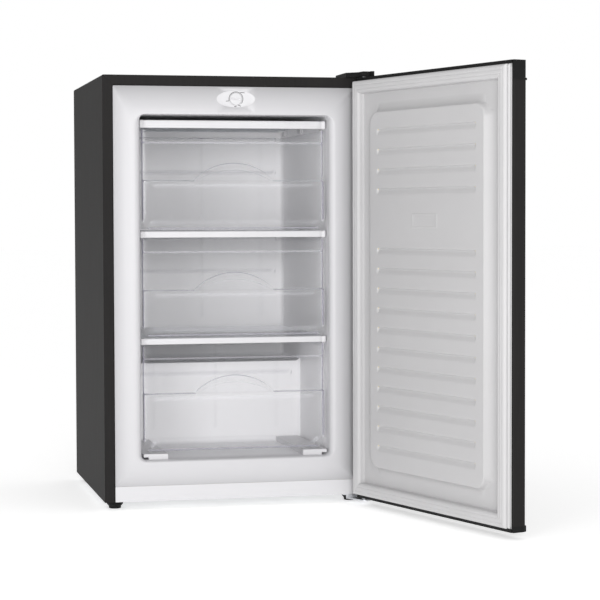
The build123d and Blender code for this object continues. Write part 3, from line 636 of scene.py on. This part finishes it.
def front_shape(low, high, step):
    """The drawer's front panel: a lower field that stands 10 mm proud below the step line, a
    set-back upper field, and a rim band along its top. Rounded lower corners and turned-back
    edges."""
    back = TUB_FRONT - DRAWER_FACE
    edge = [(0.0, back), (0.0, 6.0), (0.0, 3.0)]
    edge += [(3 * (1 - math.cos(t)), 3 * (1 - math.sin(t)))
             for t in np.radians((25.0, 50.0, 75.0, 90.0))]
    columns = [(-DRAWER_HALF + d, e) for d, e in edge]
    columns += [(x, 0.0) for x in ticks((-172, 172, 40), (-86, -76, 6), (76, 86, 6))]
    columns += [(DRAWER_HALF - d, e) for d, e in edge[::-1]]
    columns = np.array(columns)
    rows = [(low + d, e) for d, e in edge]
    rows += [(z, 0.0) for z in ticks((low + 5, step - 8, 12), (step - 6, step + 5, 12),
                                     (step + 8, high - 30, 8), (high - 28, high - 22, 8),
                                     (high - 18, high - 6, 3), (high - 4, high, 5))]
    rows = np.array(rows)
    gx, gz = np.meshgrid(columns[:, 0], rows[:, 0])
    deep = np.maximum(*np.meshgrid(columns[:, 1], rows[:, 1]))
    corner = 15.0
    lift = np.clip(corner - (gz - low), 0, corner)
    half = DRAWER_HALF - corner + np.sqrt(corner ** 2 - lift ** 2)
    gx = gx * half / DRAWER_HALF
    upper = smooth_step((gz - step + 2.0) / 2.4)
    rim = smooth_step((gz - (high - 26)) / 2.0)
    field = inside_distance(gx, gz, DRAWER_HALF - 13, low + 11, step - 9, 14.0)
    face = DRAWER_FACE + (DRAWER_STEP - DRAWER_FACE) * upper - 2.2 * rim
    face = face + 1.0 * smooth_step(field / 1.6) * (1 - upper)
    y = np.minimum(face + deep, TUB_FRONT)
    # Painted shade for the edge map: dark lines along the side edges, the step, the rim band and
    # the lower edge, and round the raised field.
    side_painted_edge = np.exp(-((DRAWER_HALF - np.abs(gx)) / 2.4) ** 2) * (gz > low + corner)
    step_painted_edge = np.exp(-((gz - step + 0.8) / 1.3) ** 2) * (np.abs(gx) > ARCH_HALF - 3)
    rim_painted_edge = np.exp(-((gz - (high - 25.0)) / 1.3) ** 2)
    low_painted_edge = np.exp(-((gz - low) / 1.2) ** 2)
    painted_outline = 0.50 * np.exp(-(field / 1.2) ** 2) * (1 - upper)
    edge = np.clip(1.0 * side_painted_edge + 0.80 * step_painted_edge + 0.65 * rim_painted_edge + 0.8 * low_painted_edge
                   + painted_outline, 0, 1)
    points = np.stack([gx, y, gz], -1).reshape(-1, 3)
    return points, grid_faces(len(rows), len(columns)), edge


def grip_shape(step):
    """The arched finger grip: between two arcs over the step line, a sheet bowed forward as half
    an ellipse and closing to a point at both ends, with painted shade along its two arcs."""
    x = np.linspace(-ARCH_HALF, ARCH_HALF, 61)
    outer = circle_rise(x, ARCH_HALF, ARCH_RISE)
    inner = circle_rise(x, ARCH_HALF - 6.0, ARCH_RISE - ARCH_BAND)
    mid, tall = (outer + inner) / 2, np.maximum((outer - inner) / 2, 0.15)
    angle = np.radians(np.linspace(-90, 90, 13))
    z = step - 0.5 + mid[:, None] + tall[:, None] * np.sin(angle)
    y = -214.4 - 3.4 * np.cos(angle) * np.minimum(tall / 2.5, 1)[:, None]
    points = np.stack([x[:, None] * np.ones_like(z), y, z], -1)
    faces = grid_faces(len(x), len(angle)).tolist()
    rise = np.sin(angle)
    # Painted shade: the edge map darkens the sheet along its upper and lower arcs.
    painted_outline = smooth_step((rise - 0.72) / 0.20) + 0.6 * smooth_step((-rise - 0.80) / 0.18)
    edge = painted_outline[None, :] * np.ones((len(x), 1))
    return points.reshape(-1, 3), faces, edge


def tub_shape(floor, high, rear):
    """A U-shaped section carried to the back and rounded up into the rear wall, whose top edge
    is level. Upright ribs and one level rib stand out from the rear wall, and low ridges cross
    the floor in a wide grid."""
    radius = 15.0
    sides = np.linspace(high, floor + radius, 14)
    corner = np.radians(np.linspace(180, 270, 10))
    flat = np.linspace(-DRAWER_HALF + radius, DRAWER_HALF - radius, 62)[1:-1]
    left = np.concatenate([
        np.stack([np.full(len(sides), -DRAWER_HALF), sides], -1)[:-1],
        np.stack([-DRAWER_HALF + radius + radius * np.cos(corner),
                  floor + radius + radius * np.sin(corner)], -1)])
    section = np.concatenate([left, np.stack([flat, np.full(len(flat), floor)], -1),
                              left[::-1] * (-1, 1)])
    lean = (section[:, 1] - floor) / (high - floor)
    rows = []
    bend = 14.0
    for y in ticks((TUB_FRONT + 0.1, rear - bend, 46)):
        rows.append((y, 0.0))
    for turn in np.radians(np.linspace(15, 90, 6)):
        rows.append((rear - bend + bend * math.sin(turn), bend * (1 - math.cos(turn))))
    points = []
    for y, inset in rows:
        x = np.sign(section[:, 0]) * np.maximum(np.abs(section[:, 0]) - inset, 0)
        z = section[:, 1] + inset * (1 - lean) ** 0.5
        ridge_x = np.exp(-((np.mod(x + 35.0, 70.0) - 35.0) / 1.3) ** 2)
        ridge_y = np.exp(-((np.mod(y + 35.0, 70.0) - 35.0) / 1.6) ** 2)
        on_floor = (section[:, 1] < floor + 0.01) & (np.abs(section[:, 0]) < 160) & (inset == 0)
        z = z + 0.9 * np.maximum(ridge_x, ridge_y) * on_floor
        points.append(np.stack([x, np.full(len(x), y), z], -1))
    # Painted shade for the edge map along the top rim of the walls.
    edges = [0.30 * np.exp(-((r[:, 2] - high) / 1.5) ** 2) for r in points]
    rim = points[-1]
    target = np.stack([rim[:, 0], np.full(len(rim), rear), np.full(len(rim), high)], -1)
    for t in np.linspace(0, 1, 30)[1:]:
        row = rim + (target - rim) * t
        upright = sum(np.exp(-((row[:, 0] - x) / 1.8) ** 2) for x in (-128.0, 3.0, 134.0))
        level = np.exp(-((row[:, 2] - (high - 74.0)) / 2.2) ** 2)
        row = row.copy()
        ribs = np.clip(upright + level, 0, 1)
        row[:, 1] = row[:, 1] - 1.6 * ribs * smooth_step(t * 6)
        points.append(row)
        # Painted shade on the rear wall's ribs and along its top edge.
        edges.append(0.45 * ribs + 0.60 * np.exp(-((row[:, 2] - high) / 1.5) ** 2))
    points = np.stack(points)
    faces = grid_faces(len(points), len(section))
    row_at, column = np.divmod(np.arange(len(faces)), len(section) - 1)
    side_columns = len(sides) - 1
    folded = (row_at >= len(rows) - 1) & ((column < side_columns)
                                          | (column >= len(section) - 1 - side_columns))
    return points.reshape(-1, 3), faces[~folded], np.stack(edges)


for name, size in drawers.items():
    body = f"drawer_{name}"
    *shape, edge = front_shape(size["low"], size["high"], size["step"])
    panel = piece(f"drawer_panel_{name}", shape, body, "clear_plastic",
                  [f"drawer_front_{name}"], False, 40.0, edge)
    thicken(panel, CLEAR_WALL, rim_only=True)
    *shape, edge = grip_shape(size["step"])
    piece(f"drawer_grip_{name}", shape, body, "clear_plastic", edge=edge)
    *shape, edge = tub_shape(size["floor"], size["high"], size["rear"])
    tub = piece(f"drawer_box_{name}", shape, body, "clear_plastic", [f"drawer_tub_{name}"],
                False, 40.0, edge)
    thicken(tub, CLEAR_WALL, rim_only=True)

# ---- shelf bars ----------------------------------------------------------------------------
SHELF_HALF = 186.0
shelf_bars = {"top": (744.0, 760.0), "middle": (529.5, 542.6), "bottom": (320.0, 332.4)}


def bar_shape(low, high):
    """A rounded section carried across: a crowned face, a small bead along its lower edge and
    caps at both ends that stand a little proud of a fine joint."""
    tall = high - low
    angle = np.linspace(0, 2 * math.pi, 40, endpoint=False)
    bulge = 0.34
    unit_y = -np.sign(np.cos(angle)) * np.abs(np.cos(angle)) ** bulge
    unit_z = np.sign(np.sin(angle)) * np.abs(np.sin(angle)) ** bulge
    x = ticks((-SHELF_HALF, -SHELF_HALF + 1, 3), (-178.6, -177.4, 4), (-170, 170, 12),
              (177.4, 178.6, 4), (SHELF_HALF - 1, SHELF_HALF, 3))
    joint = np.exp(-((np.abs(x) - 178.0) / 0.45) ** 2)
    end = np.clip((np.abs(x) - SHELF_HALF + 1.0), 0, 1) ** 2
    size = 1 - 0.10 * joint - 0.12 * end - 0.03 * (np.abs(x) < 178.0)
    y = -209.0 + 5.0 * size[:, None] * unit_y
    bead = 0.5 * np.exp(-((unit_z + 0.62) / 0.16) ** 2) * (unit_y < -0.4)
    z = (low + high) / 2 + tall / 2 * size[:, None] * unit_z
    points = np.stack([x[:, None] * np.ones_like(z), y + bead, z], -1)
    columns = len(angle)
    last = (len(x) - 1) * columns
    faces = grid_faces(len(x), columns, True).tolist()
    faces += [list(range(columns)), list(range(last, last + columns))]
    return points.reshape(-1, 3), faces


for name, (low, high) in shelf_bars.items():
    piece(f"shelf_bar_{name}", bar_shape(low, high), "cabinet", "white_plastic",
          [f"shelf_front_{name}"], sharp=60.0)

# ---- temperature dial ----------------------------------------------------------------------


def ellipse_ring(scale, y):
    """Points round the dial plate: from its hole (scale 0) out to its ellipse (scale 1)."""
    angle = np.linspace(0, 2 * math.pi, 96, endpoint=False)
    x = (DIAL_HOLE + (38.5 - DIAL_HOLE) * scale) * np.cos(angle)
    z = (DIAL_HOLE + (16.5 - DIAL_HOLE) * scale) * np.sin(angle)
    return np.stack([x, np.full(len(x), y), DIAL_HEIGHT + z], -1)


def dial_plate_shape():
    """Rings from the hole out to an ellipse, with a raised rim and a shallow dish between."""
    section = [(0.0, -238.9), (0.0, -239.6), (0.03, -239.72), (0.5, -239.55), (0.9, -239.55),
               (0.94, -239.72), (0.98, -239.7), (1.0, -239.5), (1.0, -238.9), (0.0, -238.9)]
    rings = np.stack([ellipse_ring(scale, y) for scale, y in section])
    return rings.reshape(-1, 3), grid_faces(len(section), 96, True)


def dial_knob_shape():
    """A disc with a rounded rim, a coin slot across its face and a stem behind."""
    profile = np.array([(0.0, 0), (0.4, 0), (0.8, 0)] + [(r, 0) for r in np.arange(1.2, 11.3, 0.4)]
                       + [(11.5, 0.06), (11.8, 0.3), (12.0, 0.8), (12.0, 3.0), (3.0, 3.0),
                          (3.0, 14.0), (0.0, 14.0)])
    angle = np.linspace(0, 2 * math.pi, 120, endpoint=False)
    x = profile[:, :1] * np.cos(angle)
    z = profile[:, :1] * np.sin(angle)
    tilt = math.radians(-8.0)
    along = x * math.cos(tilt) + z * math.sin(tilt)
    across = z * math.cos(tilt) - x * math.sin(tilt)
    face = profile[:, 1:] < 0.01
    slot = smooth_step((1.5 - np.abs(across)) / 0.6) * smooth_step((9.6 - np.abs(along)) / 0.8)
    y = -239.85 + profile[:, 1:] + 1.2 * slot * face
    points = np.stack([x, y, DIAL_HEIGHT + z], -1)
    return points.reshape(-1, 3), grid_faces(len(profile), 120, True)


def printed_line(points, width):
    """A thin raised line through (x, z) points on the dial plate, rectangular in section."""
    points = np.asarray(points, float)
    heading = np.gradient(points, axis=0)
    heading /= np.linalg.norm(heading, axis=1)[:, None]
    side = np.stack([-heading[:, 1], heading[:, 0]], -1) * width / 2
    rows = []
    for sign, y in ((-1, -239.5), (-1, -239.78), (1, -239.78), (1, -239.5)):
        flat = points + sign * side
        rows.append(np.stack([flat[:, 0], np.full(len(flat), y), DIAL_HEIGHT + flat[:, 1]], -1))
    shape = np.stack(rows, 1)
    last = (len(points) - 1) * 4
    faces = grid_faces(len(points), 4, True).tolist() + [[0, 1, 2, 3],
                                                         [last, last + 1, last + 2, last + 3]]
    return shape.reshape(-1, 3), faces


def dial_marks_shape():
    """An arc round the knob's upper side with short dashes at its ends."""
    sweep = np.radians(np.linspace(198, -38, 50))
    arc = np.stack([13.9 * np.cos(sweep), 13.9 * np.sin(sweep)], -1)
    dashes = [((-20.0, -4.6), (-14.0, -3.8)), ((-3.4, -14.6), (1.0, -14.9)),
              ((4.6, -12.0), (9.6, -14.0)), ((8.4, 12.6), (17.0, 12.2))]
    lines = [printed_line(arc, 0.9)]
    for a, b in dashes:
        lines.append(printed_line(np.linspace(a, b, 4), 1.0))
    return joined(*lines)


piece("dial_plate", dial_plate_shape(), "cabinet", "white_plastic", ["thermostat_plate"])
piece("dial_knob", dial_knob_shape(), "thermostat_knob", "white_plastic", ["thermostat_knob"])
piece("dial_marks", dial_marks_shape(), "cabinet", "black_plastic")

# ---- feet ----------------------------------------------------------------------------------
FOOT_X = 238.0
FOOT_Y = 200.0


def foot_shape(x, y, collar, stud):
    """A sole, a cone and a knurled flange up to collar, with a threaded stud up to stud. The
    radius of the knurl is r (1 + 0.03 cos 24a)."""
    profile = [(0, 0.0), (11.0, 0.0), (12.0, 0.9), (12.0, 4.0), (13.2, 5.6), (15.2, 8.2),
               (15.8, 9.2), (15.8, collar - 0.6), (15.2, collar), (4.4, collar)]
    thread = [(3.9 - 0.35 * (k % 2), collar + 0.2 + 0.625 * k)
              for k in range(int((stud - collar) / 0.625))]
    profile += thread + [(3.0, stud), (0.0, stud)]

    def knurl(angle, index):
        return 1 + 0.025 * np.cos(24 * angle) * ((index >= 5) & (index <= 8))

    return turned_shape(profile, (x, y, 0.0), 96, knurl)


for side_name, x in (("left", -FOOT_X), ("right", FOOT_X)):
    body = f"front_{side_name}_foot"
    piece(f"levelling_foot_{side_name}", foot_shape(x, -FOOT_Y, 13.5, 44.0), body,
          "black_plastic", [body])
piece("fixed_feet", joined(foot_shape(-FOOT_X, FOOT_Y, 16.0, 30.0),
                           foot_shape(FOOT_X, FOOT_Y, 16.0, 30.0)),
      "cabinet", "black_plastic", ["rear_feet"])

# ---- floor ---------------------------------------------------------------------------------
floor_mesh = bpy.data.meshes.new("studio_floor")
reach = 30.0
floor_mesh.from_pydata([(-reach, -reach, 0), (reach, -reach, 0), (reach, reach, 0),
                        (-reach, reach, 0)], [], [(0, 1, 2, 3)])
floor_material, floor_place, floor_shader = finish(
    "pale_floor", 0.8, Emission_Color=(1.0, 1.0, 1.0, 1.0), Emission_Strength=0.45)
feed(floor_shader, "Base Color", noise(floor_place, 0.7, 2.0).blend((0.93, 0.93, 0.93),
                                                                   (0.95, 0.95, 0.95)))
floor_mesh.materials.append(floor_material)
studio_floor = bpy.data.objects.new("studio_floor", floor_mesh)
bpy.context.scene.collection.objects.link(studio_floor)
